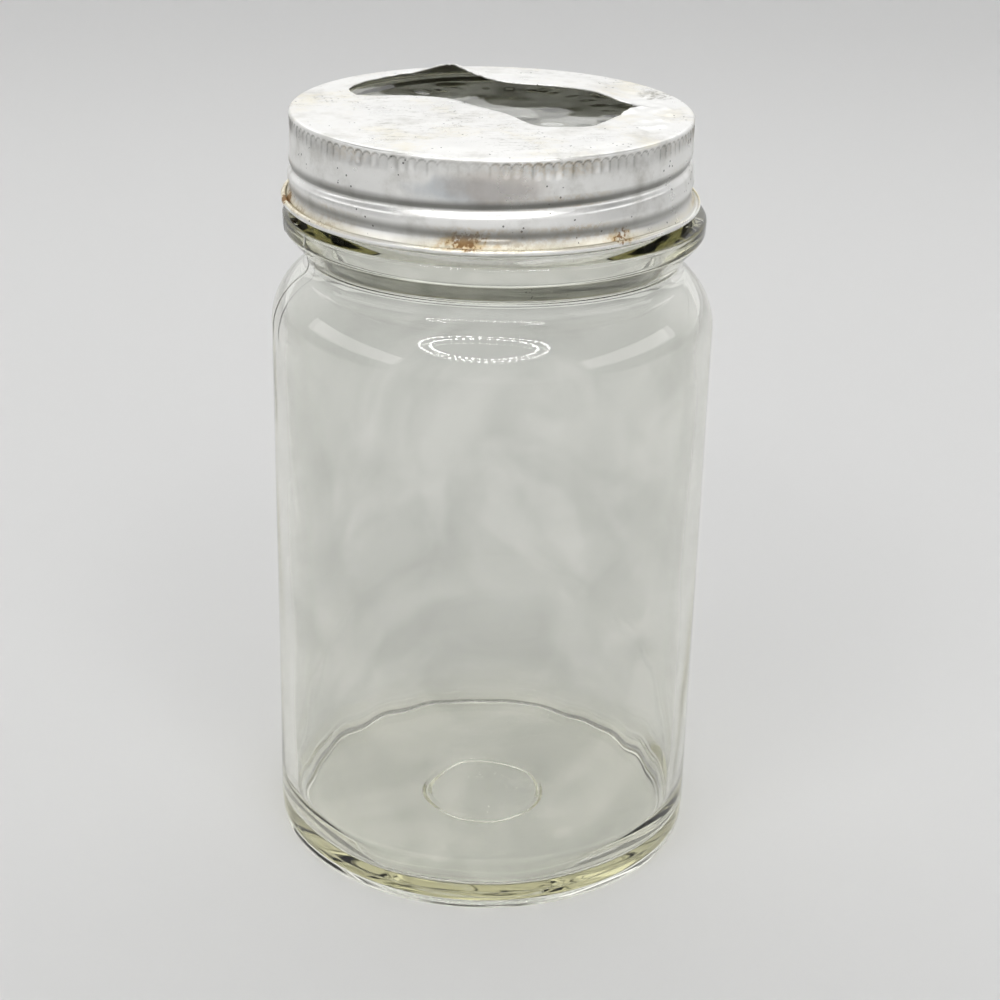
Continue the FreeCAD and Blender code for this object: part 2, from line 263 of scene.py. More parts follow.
def jarShift(p, radius, height, angle, inside, bodyTop):
    # how far the glass lies out from its profile: the waves are sums of sines over
    # the surface, stronger inside and only inwards outside, lobes run round the
    # floor's corner, and the seams are bell-shaped ridges
    floorTop, beadTop = p["kickUp"] + p["floor"], p["height"] - p["beadTopDrop"]
    side = smoothStep((height - p["waveStart"]) / p["waveStartFade"])
    side = side * smoothStep((bodyTop - p["waveEnd"] - height) / p["waveEndFade"])
    east, north = p["bodyRadius"] * np.sin(angle), p["bodyRadius"] * np.cos(angle)
    waves = ripple(east + 0.12 * height, north - 0.08 * height, p["waveSize"], 11)
    fine = ripple(east - 0.10 * height, north + 0.22 * height, p["fineSize"], 12)
    innerShift = p["innerWave"] * waves + p["fineShare"] * p["innerWave"] * fine
    shift = side * np.where(inside, innerShift, p["outerWave"] * (waves - p["outerOffset"]))
    shift = np.where(inside, shift, np.minimum(shift, 0.0))
    corner = bell((height - floorTop - 1.0) / p["cornerWaveWidth"]) * inside
    corner = corner * smoothStep((radius - p["cornerWaveStart"]) / p["cornerWaveFade"])
    ring = p["cornerWaveRing"]
    lobes = ripple(ring * np.sin(angle) + 0.0 * height, ring * np.cos(angle), p["cornerWaveSize"], 15)
    shift = shift + corner * p["cornerWave"] * lobes
    away = wrapAngle(angle[0][:, None] - np.radians(p["seamAt"])[None])
    seam = bell(away / math.radians(p["seamWidth"])).sum(1)[None]
    seamed = (1.0 - inside) * smoothStep(height - p["mouldLine"]) * smoothStep(beadTop - height)
    shoulder = smoothStep((height - bodyTop + p["seamStart"]) / p["seamFade"])
    return shift + seamed * shoulder * p["seamRise"] * seam


def floorRise(p, radius, height, angle, inside):
    # long low waves in the upper face of the floor, fading out at its middle and edge
    rise = inside * smoothStep((p["floorWaveEnd"] - radius) / p["floorWaveFade"])
    rise = rise * smoothStep((p["floorWaveHeight"] - height) / 4.0) * p["floorWave"]
    rise = rise * ripple(radius * np.sin(angle), radius * np.cos(angle), p["floorWaveSize"], 14)
    return rise * smoothStep(radius / 6.0)


def makeJar(p):
    # the profile turned round the axis, then pushed out and up by the waves
    line, bodyTop = jarProfile(p)
    # columns: even steps, and closer ones beside the two mould seams
    seams = np.radians(p["seamAt"])
    even = evenAngles(p["columns"]) - math.pi
    clear = np.abs(wrapAngle(even[:, None] - seams[None])).min(1) > math.radians(p["seamClear"])
    beside = seams[:, None] + np.radians(p["seamColumns"])[None]
    angle = np.sort(np.concatenate([even[clear], beside.ravel()]))[None]
    radius, height = line[1:-1, :1], line[1:-1, 1:]
    inside = (np.arange(len(line)) > np.argmax(line[:, 1]))[1:-1, None]
    shift = jarShift(p, radius, height, angle, inside, bodyTop)
    rise = floorRise(p, radius, height, angle, inside)
    grid = roundAxis(radius + shift, height + rise, angle)
    return surfaceMesh("jarGlass", grid, (0, 0, line[0, 1]), (0, 0, line[-1, 1]))


liner = {
    "radius": (linerHigh[0] - linerLow[0]) / 2.0, "low": linerLow[2], "high": linerHigh[2],
    "round": 1.0, "panelDepth": 0.6, "panelRadius": 33.5, "panelSlope": 1.2, "panelRound": 0.3,
    "bars": 30, "barInner": 23.0, "barOuter": 27.0, "barRise": 0.24,
    "barHalf": 0.24, "barSlope": 0.16, "barEnd": 0.9,
    "wave": 0.08, "waveSize": 14.0, "waveFade": 5.0, "columns": 360, "spacing": 0.9,
}


def makeLiner(p):
    # the disc's profile turned round the axis. A ring of short rounded bars stands on
    # its panel: products of smooth steps along and across; the panel is a little wavy.
    panel = p["high"] - p["panelDepth"]
    panelEdge = p["panelRadius"] - p["panelSlope"]
    corners = [
        (0.0, p["low"], 0.0), (p["radius"], p["low"], p["round"]), (p["radius"], p["high"], p["round"]),
        (p["panelRadius"], p["high"], p["panelRound"]), (panelEdge, panel, p["panelRound"]),
        (0.0, panel, 0.0),
    ]
    line = roundedLine(corners, p["spacing"])
    angle = evenAngles(p["columns"])[None]
    radius, height = line[1:-1, :1], line[1:-1, 1:]
    share = angle * p["bars"] / fullTurn
    number = np.floor(share)
    across = np.abs(share - number - 0.5)
    ringed = smoothStep((radius - p["barInner"]) / p["barEnd"])
    ringed = ringed * smoothStep((p["barOuter"] - radius) / p["barEnd"])
    onTop = (height > (p["low"] + p["high"]) / 2.0) & (radius < panelEdge)
    uneven = 0.55 + 0.45 * np.sin(number * 2.3) * np.sin(number * 0.9 + 0.6)
    bars = p["barRise"] * uneven * ringed * smoothStep((p["barHalf"] - across) / p["barSlope"])
    wavy = p["wave"] * ripple(radius * np.sin(angle), radius * np.cos(angle), p["waveSize"], 21)
    wavy = wavy * smoothStep(radius / p["waveFade"])
    grid = roundAxis(radius, height + onTop * (bars + wavy), angle)
    return surfaceMesh("linerGlass", grid, (0, 0, line[0, 1]), (0, 0, line[-1, 1]))


cap = {
    "shift": (capHigh[0] + capLow[0]) / 2.0, "top": linerHigh[2] + 0.4, "sheet": 0.4,
    "skirtRadius": 43.75, "ringWidth": 4.25, "ringRows": [0.0, 1.2, 2.4, 3.0],
    "cornerRound": 0.7, "cornerSteps": [0.0, 18.0, 36.0, 54.0, 72.0, 90.0],
    # (out from the skirt, below the top, rounding) down to the start of the rolled edge
    "skirtLine": [(0.0, 9.0, 3.0), (0.55, 14.0, 3.0), (0.1, 16.4, 1.2)],
    # rows down the skirt: (first, last, how many) below the top
    "skirtRows": [(0.9, 1.9, 6), (2.3, 4.8, 8), (5.6, 8.4, 4), (8.8, 18.7, 32)],
    # rolled edge: its middle, the sheet's radius round it, and how far round it goes
    "curlReach": 1.3, "curlDepth": 18.85, "curlTube": 0.35,
    "curlStart": 19.0, "curlEnd": 300.0, "curlRows": 13,
    # the place at the right where it is unrolled a little
    "looseAt": 1.35, "looseWidth": 0.35, "looseTurn": 100.0, "looseTube": 0.14, "looseReach": 0.1,
    "knurls": 130, "knurlColumns": 5,
    "knurlTop": 0.85, "knurlBottom": 4.7, "knurlDepth": 0.46, "knurlArch": 0.7,
    # where the knurls are worn away: (angle, width, how much)
    "knurlsWorn": [(-0.12, 0.16, 0.85), (1.0, 0.3, 0.35)],
    # painted shade: in the knurls' outlines and on one side of each, thinly on their faces, in the thread
    # and the waist
    "knurlShade": 0.95, "sideShade": 0.7, "knurlFill": 0.3,
    "waistShade": 0.85, "waistDepth": 15.6, "waistWidth": 1.25, "waistTop": 13.4, "shadeTop": 0.85,
    # rolled screw thread, its angles in degrees
    "pitch": 6.35, "grooveDrop": 10.7, "grooveDepth": 0.66, "grooveWidth": 1.6,
    "grooveStart": -285.0, "grooveEnd": 110.0, "grooveFade": 12.0,
    # short raised line low on the front
    "lineDepth": 16.7, "lineFrom": -7.0, "lineTo": 6.3, "lineRise": 0.28, "lineHalf": 0.28,
    # skirtInside: the share of the inner face's painted shade that lies inside the skirt
    "panelRise": 0.1, "panelRows": 22, "skirtInside": 0.2,
    "tearNear": [(-31.4, 12.8), (-29.6, 9.8), (-25.0, 9.5), (-18.0, 10.0), (-9.5, 8.1), (-3.5, 2.0),
                 (3.0, -5.0), (6.6, -11.0), (9.8, -15.6), (15.8, -15.9), (20.6, -14.5), (23.3, -11.2),
                 (27.0, -4.6), (31.0, 3.2), (33.9, 5.0)],
    "tearFar": [(33.9, 5.0), (31.2, 4.9), (26.8, 7.6), (19.5, 12.9), (12.3, 15.7), (6.1, 17.0), (1.4, 19.4),
                (-2.3, 23.2), (-6.6, 28.6), (-9.4, 30.2), (-10.2, 29.3), (-11.2, 30.3), (-15.8, 27.8),
                (-19.5, 25.7), (-26.8, 23.9), (-30.8, 19.6), (-32.0, 15.8), (-31.4, 12.8)],
    "tearSteps": 24, "tearMiddle": (-2.0, 14.0),
    "tearJag": 0.10, "tearJagSize": 3.0, "tearNick": 0.05, "tearNickSize": 1.1,
    "lipLift": 1.8, "lipLeft": -36.0, "lipRight": 33.0, "lipFade": 12.0,
    "peakLift": 1.35, "peakAt": -11.0, "peakWidth": 4.5,
    "bendWidth": 8.5, "nearLine": 4.5, "nearTilt": -0.35, "nearFade": 8.0,
    # hollows and creases of the top: (height, size, seed), folds at the back, a beaten right side
    "dents": [(0.05, 16.0, 3), (0.02, 5.0, 4)], "foldRise": 0.12, "foldSize": 7.5,
    "beatenRise": 0.16, "beatenSize": 6.0, "beatenFrom": 26.0,
}


def liftAt(p, x, y):
    # how far the torn sheet is bent up: a long lip with a peak in it, faded out at
    # both ends, towards the ring and towards the near side
    ends = smoothStep((x - p["lipLeft"]) / p["lipFade"]) * smoothStep((p["lipRight"] - x) / p["lipFade"])
    along = p["lipLift"] * ends + p["peakLift"] * bell((x - p["peakAt"]) / p["peakWidth"])
    ring = p["skirtRadius"] - p["ringWidth"]
    inwards = smoothStep((ring - np.hypot(x, y)) / p["bendWidth"])
    return along * inwards * smoothStep((y - p["nearLine"] - p["nearTilt"] * x) / p["nearFade"])


def dentsAt(p, x, y):
    # sums of sines: small hollows all over the top, folds that run out from the middle
    # at the back, and more hollows at the right
    back = smoothStep((y - 16.0 + 0.1 * x) / 10.0)
    folds = ripple(np.hypot(x, y) * 3.2, np.arctan2(y, x) * 22.0, p["foldSize"], 5) * p["foldRise"]
    beaten = smoothStep((x - p["beatenFrom"]) / 8.0) * p["beatenRise"] * ripple(x, y, p["beatenSize"], 8)
    dents = sum(rise * ripple(x, y, size, seed) for rise, size, seed in p["dents"])
    return dents + back * folds + beaten


def screwTurns(p, angle):
    # for each turn of the screw line: its height at an angle, and a share that is 1
    # along the line and fades to 0 past its two ends
    for turn in (-360.0, 0.0, 360.0):
        place = np.degrees(angle) + turn
        ends = smoothStep((place - p["grooveStart"]) / p["grooveFade"])
        ends = ends * smoothStep((p["grooveEnd"] - place) / p["grooveFade"])
        yield -p["grooveDrop"] + p["pitch"] * place / 360.0, ends


def skirtAt(p, z, angle):
    # radius of the skirt at a height below the top: the turned profile, less a cosine
    # hollow where the screw line passes, plus a bell-shaped raised line
    corners = [(p["skirtRadius"], 0.0, 0.0)]
    corners += [(p["skirtRadius"] + out, -down, rounding) for out, down, rounding in p["skirtLine"]]
    start = math.radians(p["curlStart"])
    corners.append((p["skirtRadius"] + p["curlReach"] - p["curlTube"] * math.cos(start),
                    -p["curlDepth"] - p["curlTube"] * math.sin(start), 0.0))
    line = roundedLine(corners, 0.2)
    radius = np.interp(-z, -line[:, 1], line[:, 0])
    for height, ends in screwTurns(p, angle):
        across = (z - height) / p["grooveWidth"]
        hollow = np.where(np.abs(across) < 1.0, 0.5 + 0.5 * np.cos(math.pi * across), 0.0)
        radius = radius - p["grooveDepth"] * ends * hollow
    degrees = np.degrees(angle)
    raised = bell((z + p["lineDepth"]) / p["lineHalf"]) * smoothStep((degrees - p["lineFrom"]) / 3.0)
    return radius + p["lineRise"] * raised * smoothStep(p["lineTo"] - degrees)


def knurlPlace(p, z, angle):
    # which knurl an angle lies in, where across it from -1 to 1, and how far down from
    # its arched top a height lies
    share = angle * p["knurls"] / fullTurn
    number = np.floor(share)
    across = 2.0 * (share - number) - 1.0
    return number, across, -p["knurlTop"] - p["knurlArch"] * across ** 2 - z


def knurlDent(p, z, angle):
    # upright hollows with arched tops, side by side: a power of the place across
    # times smooth steps at both ends; deeper in places, worn away in others
    number, across, down = knurlPlace(p, z, angle)
    uneven = 0.75 + 0.35 * np.sin(number * 2.4) * np.sin(number * 1.1 + 1.0)
    worn = 1.0 - sum(much * bell((angle - at) / width) for at, width, much in p["knurlsWorn"])
    low = -p["knurlBottom"] + 0.5 * np.sin(number * 0.9) * np.sin(number * 0.31)
    window = smoothStep((down - 0.12 * np.sin(number * 1.7)) / 0.35) * smoothStep((z - low) / 2.6)
    return p["knurlDepth"] * uneven * worn * window * (1.0 - np.abs(across) ** 2.5)


def knurlLines(p, z, angle):
    # painted shade in the knurls: under the arched tops, along one side of each as if lit
    # from the other, and thinly over the rest, less where they are worn
    number, across, down = knurlPlace(p, z, angle)
    at, width, _ = p["knurlsWorn"][0]
    worn = (1.0 - 0.8 * bell((angle - at) / width)) * (0.8 + 0.2 * np.sin(number * 1.7))
    arch = bell((0.15 - down) / 0.28)
    up = z + p["knurlBottom"]
    side = smoothStep((-across - 0.55) / 0.4) * smoothStep(down / 0.35) * smoothStep(up / 2.0)
    fill = smoothStep(down / 0.3) * smoothStep(up / 2.5)
    return worn * np.maximum(np.maximum(arch, p["sideShade"] * side), p["knurlFill"] * fill)


def panelGrid(p, angle):
    # rows from the tear's edge out to the flat ring, closer together near the tear: a
    # straight mix of the edge and the ring, lifted by the bends and dents
    ringRadius = p["skirtRadius"] - p["ringWidth"]
    middle = np.array(p["tearMiddle"])
    rim = np.stack([ringRadius * np.sin(angle), -ringRadius * np.cos(angle)], -1)
    tear = np.concatenate([smoothLine(p[half], p["tearSteps"]) for half in ("tearNear", "tearFar")]) - middle
    tearWay = np.arctan2(tear[:, 1], tear[:, 0])
    order = np.argsort(tearWay)
    way = np.arctan2(rim[:, 1] - middle[1], rim[:, 0] - middle[0])
    reach = np.interp(way, tearWay[order], np.hypot(*tear[order].T), period=fullTurn)
    reach = reach + p["tearJag"] * ripple(way * 30.0, 0.0 * way, p["tearJagSize"], 6)
    reach = reach + p["tearNick"] * ripple(way * 30.0, 0.0 * way, p["tearNickSize"], 7)
    edge = middle + np.stack([np.cos(way), np.sin(way)], -1) * reach[:, None]
    share = (np.arange(p["panelRows"]) / p["panelRows"])[:, None, None] ** 1.25
    x, y = np.moveaxis(edge[None] + (rim - edge)[None] * share, -1, 0)
    inside = smoothStep(ringRadius - np.hypot(x, y))
    z = inside * p["panelRise"] + liftAt(p, x, y) + dentsAt(p, x, y) * inside
    return np.stack([x, y, np.clip(z, 0.0, capHigh[2] - p["top"] - 0.02)], -1)


def curlGrid(p, angle):
    # the rolled edge: an arc under and round to its top, looser and wider at one place
    loose = bell((angle - p["looseAt"]) / p["looseWidth"])
    end = p["curlEnd"] - p["looseTurn"] * loose
    share = np.linspace(0.0, 1.0, p["curlRows"])[:, None]
    turn = np.radians(p["curlStart"] + share * (end - p["curlStart"]))
    opening = loose * smoothStep(turn / math.pi)
    tube = p["curlTube"] + p["looseTube"] * opening
    middle = p["skirtRadius"] + p["curlReach"] + p["looseReach"] * opening
    return roundAxis(middle - tube * np.cos(turn), -p["curlDepth"] - tube * np.sin(turn), angle)


def paintedShadeAt(p, level, angle):
    # painted shade: the upper half of the screw thread, the waist below the swell and the
    # knurls are darkened as if shaded: the most of the three
    waist = bell((level + p["waistDepth"]) / p["waistWidth"]) * smoothStep(-p["waistTop"] - level)
    paintedShade = p["waistShade"] * waist
    for height, ends in screwTurns(p, angle):
        above = level - height
        paintedShade = np.maximum(paintedShade, ends * smoothStep((above + 0.1) / 0.5) * smoothStep((2.6 - above) / 1.6))
    return np.maximum(paintedShade, p["knurlShade"] * knurlLines(p, level, angle))


def makeCap(p):
    # one sheet: outer face from the tear out over the panel, the ring and the
    # corner, down the skirt and round the rolled edge, then the inner face back,
    # which is the outer face moved inwards by the sheet's thickness
    angle = (evenAngles(p["knurls"] * p["knurlColumns"]) - math.pi)[None]
    ring = p["skirtRadius"] - p["ringWidth"] + np.array(p["ringRows"])[:, None]
    bend = np.radians(p["cornerSteps"])[:, None]
    corner = p["skirtRadius"] - p["cornerRound"] + p["cornerRound"] * np.sin(bend)
    down = -np.concatenate([np.linspace(*rows) for rows in p["skirtRows"]])[:, None]
    wall = skirtAt(p, down, angle) - knurlDent(p, down, angle)
    outer = np.concatenate([panelGrid(p, angle[0]), roundAxis(ring, 0.0 * ring, angle),
                            roundAxis(corner, p["cornerRound"] * (np.cos(bend) - 1.0), angle),
                            roundAxis(wall, down, angle), curlGrid(p, angle)])
    # normals from the grid's two directions, turned so that the flat ring's point up
    along = np.gradient(outer, axis=0)
    across = np.roll(outer, -1, axis=1) - np.roll(outer, 1, axis=1)
    normal = np.cross(across, along)
    normal = normal / np.maximum(np.linalg.norm(normal, axis=-1, keepdims=True), 1e-9)
    normal = normal * np.sign(normal[p["panelRows"] + 2, :, 2].sum())
    # the inner face keeps every second row, and both its edges
    kept = np.append(np.arange(0, len(outer) - 1, 2), len(outer) - 1)
    inner = (outer - p["sheet"] * normal)[::-1][kept]
    grid = np.concatenate([outer, inner]) + np.array([p["shift"], 0.0, p["top"]])
    piece = surfaceMesh("tornCap", grid, closedRows=True)
    # inside: how much painted shade darkens the inner face: 1 under the panel, less inside
    # the skirt, 0 outside and on the rolled edge. The other attribute: how much painted shade
    # lies on the outer face, from the first knurls' tops down.
    level = outer[:, :, 2]
    rowLevel = level.mean(1)
    curled = np.arange(len(outer)) >= len(outer) - p["curlRows"] - 2
    under = np.where(curled, 0.0, np.where(rowLevel > -0.6, 1.0, p["skirtInside"]))
    under = np.repeat(under[::-1][kept][:, None], angle.size, 1)
    paintedShade = np.where((rowLevel < -p["shadeTop"]) & ~curled, 1.0, 0.0)[:, None] * paintedShadeAt(p, level, angle)
    for name, values in (("inside", [0.0 * paintedShade, under]), ("paintedShade", [paintedShade, 0.0 * under])):
        attribute = piece.data.attributes.new(name, "FLOAT", "POINT")
        attribute.data.foreach_set("value", np.concatenate(values).ravel())
    return piece


jarGlass = makeJar(jar)
linerGlass = makeLiner(liner)
tornCap = makeCap(cap)
print("shapes made")


def newMaterial(name):
    # a new material with its node tree and shader
    material = bpy.data.materials.new(name)
    material.use_nodes = True
    return material, material.node_tree, material.node_tree.nodes["Principled BSDF"]


def newGroup(name, inputs):
    # an empty shader group with named inputs (name, kind, default) and one mask out
    group = bpy.data.node_groups.new(name, "ShaderNodeTree")
    for label, kind, default in inputs:
        socket = group.interface.new_socket(label, in_out="INPUT", socket_type="NodeSocket" + kind)
        if default is not None:
            socket.default_value = default
    group.interface.new_socket("Mask", in_out="OUTPUT", socket_type="NodeSocketFloat")
    given, result = group.nodes.new("NodeGroupInput"), group.nodes.new("NodeGroupOutput")
    return group, given.outputs, result.inputs["Mask"]


def addNode(tree, kind, settings=None, **values):
    # one node with its settings; values are socket names, spaces as underscores, or i
    # and a socket's number, and a value that is a socket is linked
    node = tree.nodes.new("ShaderNode" + kind)
    for key, value in (settings or {}).items():
        setattr(node, key, value)
    for key, value in values.items():
        numbered = key[0] == "i" and key[1:].isdigit()
        socket = node.inputs[int(key[1:])] if numbered else node.inputs[key.replace("_", " ")]
        if isinstance(value, bpy.types.NodeSocket):
            tree.links.new(value, socket)
        else:
            socket.default_value = value
    return node


def maths(tree, operation, a, b=0.0, clamp=False):
    # one sum of two values, kept between 0 and 1 when clamp is set
    return addNode(tree, "Math", {"operation": operation, "use_clamp": clamp}, i0=a, i1=b).outputs[0]


def vectorMaths(tree, operation, a, b=(0.0, 0.0, 0.0)):
    # one sum of two vectors; its outputs are a vector and a value
    return addNode(tree, "VectorMath", {"operation": operation}, i0=a, i1=b).outputs


def times(tree, *values):
    # the product of the values
    result = values[0]
    for value in values[1:]:
        result = maths(tree, "MULTIPLY", result, value)
    return result


def highest(tree, values):
    # the greatest of the values
    result = values[0]
    for value in values[1:]:
        result = maths(tree, "MAXIMUM", result, value)
    return result


def ramp(tree, value, low, high):
    # 0 at low, 1 at high, smooth between
    return addNode(tree, "MapRange", {"interpolation_type": "SMOOTHSTEP"},
                   Value=value, From_Min=low, From_Max=high).outputs[0]


def spread(tree, value, low, high):
    # a noise's middle part, 0.3 to 0.7, spread evenly between low and high
    return addNode(tree, "MapRange", {}, Value=value, From_Min=0.3, From_Max=0.7,
                   To_Min=low, To_Max=high).outputs[0]


def noise(tree, place, scale, detail, **values):
    # soft noise over a place, about 0.3 to 0.7
    return addNode(tree, "TexNoise", {}, Vector=place, Scale=scale, Detail=detail, **values).outputs["Fac"]


def mixColour(tree, factor, colour, tone):
    # the colour, with a plain tone laid over it where the factor is 1
    return addNode(tree, "Mix", {"data_type": "RGBA"}, i0=factor, i6=colour, i7=(*tone, 1.0)).outputs[2]


def makeBlotGroup():
    # mask of one blot: 1 inside a radius of a place, its edge broken up by noise
    group, given, result = newGroup("blot", [
        ("Place", "Vector", None), ("Centre", "Vector", None), ("Stretch", "Vector", (1, 1, 1)),
        ("Radius", "Float", 0.002), ("Roughness", "Float", 0.001),
        ("Grain", "Float", 900.0), ("Soft", "Float", 0.0004)])
    away = vectorMaths(group, "SUBTRACT", given["Place"], given["Centre"])[0]
    far = vectorMaths(group, "LENGTH", vectorMaths(group, "DIVIDE", away, given["Stretch"])[0])["Value"]
    grain = maths(group, "SUBTRACT", noise(group, given["Place"], given["Grain"], 3.0), 0.5)
    shaken = maths(group, "ADD", far, times(group, grain, given["Roughness"], 6.0))
    edge = maths(group, "SUBTRACT", given["Radius"], shaken)
    group.links.new(ramp(group, edge, times(group, given["Soft"], -1.0), given["Soft"]), result)
    return group


def makeSpeckGroup():
    # mask of sparse small specks: cells of a Voronoi pattern that a noise picks
    group, given, result = newGroup("specks", [
        ("Place", "Vector", None), ("Scale", "Float", 400.0),
        ("Size", "Float", 0.2), ("Share", "Float", 0.6)])
    cells = addNode(group, "TexVoronoi", {}, Vector=given["Place"], Scale=given["Scale"])
    near = maths(group, "LESS_THAN", cells.outputs["Distance"], given["Size"])
    here = maths(group, "GREATER_THAN", noise(group, given["Place"], 140.0, 2.0), given["Share"])
    group.links.new(times(group, near, here), result)
    return group


def makeScratchGroup():
    # fine scratches: thin lines of a noise that is stretched along one way
    group, given, result = newGroup("scratches", [
        ("Place", "Vector", None), ("Turn", "Float", 0.0),
        ("Scale", "Float", 60.0), ("Thin", "Float", 0.03)])
    turned = addNode(group, "VectorRotate", {"rotation_type": "Z_AXIS"},
                     Vector=given["Place"], Angle=given["Turn"])
    drawn = vectorMaths(group, "MULTIPLY", turned.outputs[0], (0.12, 1.0, 1.0))[0]
    lines = maths(group, "SUBTRACT", noise(group, drawn, given["Scale"], 4.0), 0.5)
    group.links.new(maths(group, "LESS_THAN", maths(group, "ABSOLUTE", lines), given["Thin"]), result)
    return group


blotGroup, speckGroup, scratchGroup = makeBlotGroup(), makeSpeckGroup(), makeScratchGroup()


def addMask(tree, group, place, **values):
    # one of the groups above, with its own values
    return addNode(tree, "Group", {"node_tree": group}, Place=place, **values).outputs["Mask"]


glass = {
    "absorb": (5.2, 5.6, 10.6),  # how fast each colour fades in the glass, per metre
    "clear": (0.945, 0.95, 0.938), "hazy": (0.85, 0.858, 0.843),
    "hazeScale": 26.0, "hazeFrom": 0.42, "hazeTo": 0.62,
    "lampTint": (0.85, 0.85, 0.845), "ior": 1.5, "waveScale": 45.0, "waveStrength": 0.02,
}


def makeGlass(name, p):
    # smooth glass with soft cloudy patches, faintly wavy; lamps shine through it, so
    # that its foot and the floor under it stay lit
    material, tree, shader = newMaterial(name)
    shader.inputs["IOR"].default_value = p["ior"]
    shader.inputs["Transmission Weight"].default_value = 1.0
    shader.inputs["Roughness"].default_value = 0.0
    place = addNode(tree, "TexCoord").outputs["Object"]
    haze = ramp(tree, noise(tree, place, p["hazeScale"], 5.0, Distortion=1.2), p["hazeFrom"], p["hazeTo"])
    tree.links.new(mixColour(tree, haze, (*p["clear"], 1.0), p["hazy"]), shader.inputs["Base Color"])
    bump = addNode(tree, "Bump", {}, Strength=p["waveStrength"], Distance=0.002,
                   Height=noise(tree, place, p["waveScale"], 1.0))
    tree.links.new(bump.outputs[0], shader.inputs["Normal"])
    passing = addNode(tree, "BsdfTransparent", {}, Color=(*p["lampTint"], 1.0))
    shadow = addNode(tree, "LightPath").outputs["Is Shadow Ray"]
    mix = addNode(tree, "MixShader", {}, i0=shadow, i1=shader.outputs[0], i2=passing.outputs[0])
    result = tree.nodes["Material Output"]
    tree.links.new(mix.outputs[0], result.inputs["Surface"])
    density = 1.25 * max(p["absorb"])
    kept = [1.0 - fading / density for fading in p["absorb"]]
    fade = addNode(tree, "VolumeAbsorption", {}, Density=density, Color=(*kept, 1.0))
    tree.links.new(fade.outputs[0], result.inputs["Volume"])
    return material


metal = {
    "bare": (0.93, 0.927, 0.905), "dull": (0.66, 0.65, 0.615), "dullFrom": 0.44, "dullTo": 0.74,
    # scrape: grey of scratches and worn flecks, and of the painted shade over the creases
    "warm": (0.90, 0.85, 0.70), "scrapeAndShade": (0.26, 0.25, 0.20),
    "blue": (0.42, 0.47, 0.52), "brown": (0.45, 0.36, 0.29),
    "grime": (0.36, 0.25, 0.11), "halo": (0.62, 0.43, 0.17), "rust": (0.23, 0.105, 0.018),
    # of the next three tones, the last two are painted shade: for the hollows and for the inner face
    "speck": (0.03, 0.028, 0.025), "paintedShade": (0.14, 0.14, 0.125), "under": (0.085, 0.082, 0.055),
    # how strongly each is laid on; creasing is the painted shade over the creases
    "yellowing": 0.6, "wear": 0.5, "creaseShading": 0.8, "haloing": 0.7,
    "rusting": 0.92, "specking": 0.8, "staining": 0.6,
    # places in metres: (across, towards the back, below the top), stretch, radius, and
    # for a stain its colour and strength
    # wrinkles: grey patches behind the tear, painted shade over the creases there
    "creaseShadePatches": [((0.009, 0.0347, 0.0), (1.0, 1.3, 1.0), 0.0024),
                 ((0.0352, 0.0169, 0.0), (1.0, 1.4, 1.0), 0.0034)],
    "stains": [((-0.006, -0.0437, 0.0068), (2.6, 1.0, 0.55), 0.0045, "blue", 0.5),
               ((0.0005, -0.0437, 0.0058), (2.2, 1.0, 0.8), 0.004, "brown", 0.4)],
    "rustSpots": [((-0.0058, -0.0442, 0.0168), 0.0017), ((0.0272, -0.0355, 0.0170), 0.0011),
                  ((-0.0440, -0.0100, 0.0182), 0.0020), ((0.0262, -0.0362, 0.0176), 0.0008)],
    # grime at the foot of the skirt: below the top, (starts, full) and (full, ends)
    "grimeStart": (0.0163, 0.0181), "grimeEnd": (0.0183, 0.0188),
    "smooth": 0.24, "rough": 0.46,
}


def belowTop(place):
    # a place whose height is given below the cap's top
    return place[0], place[1], cap["top"] * mm - place[2]


def wornTop(tree, p, place, height, colour, cloud, dust):
    # on the top: yellowish patches, fine dark scratches and flecks, and grey patches of
    # painted shade over the creases behind the tear
    top = cap["top"] * mm
    facing = ramp(tree, height, top - 0.0009, top - 0.0003)
    warmth = ramp(tree, noise(tree, place, 60.0, 5.0, Roughness=0.7), 0.48, 0.70)
    colour = mixColour(tree, times(tree, facing, warmth, p["yellowing"]), colour, p["warm"])
    lines = addMask(tree, scratchGroup, place, Turn=-0.15, Scale=330.0, Thin=0.006)
    flecks = ramp(tree, noise(tree, place, 1100.0, 3.0, Roughness=0.6), 0.60, 0.70)
    worn = times(tree, facing, ramp(tree, cloud, 0.45, 0.62), highest(tree, [lines, flecks]), p["wear"])
    colour = mixColour(tree, worn, colour, p["scrapeAndShade"])
    # painted shade: grey patches over the creases behind the tear
    creaseShadeMask = highest(tree, [
        addMask(tree, blotGroup, place, Centre=belowTop(centre), Stretch=stretch, Radius=radius,
                Roughness=0.0011, Grain=700.0, Soft=0.0008)
        for centre, stretch, radius in p["creaseShadePatches"]])
    creaseShade = times(tree, creaseShadeMask, ramp(tree, dust, 0.40, 0.62), p["creaseShading"])
    return mixColour(tree, creaseShade, colour, p["scrapeAndShade"])


def stainedBand(tree, p, place, colour):
    # bluish and brownish stains at the front of the plain band
    for centre, stretch, radius, tone, share in p["stains"]:
        blot = addMask(tree, blotGroup, place, Centre=belowTop(centre), Stretch=stretch, Radius=radius,
                       Roughness=0.0012, Grain=180.0, Soft=0.0022)
        colour = mixColour(tree, times(tree, blot, share), colour, p[tone])
    return colour


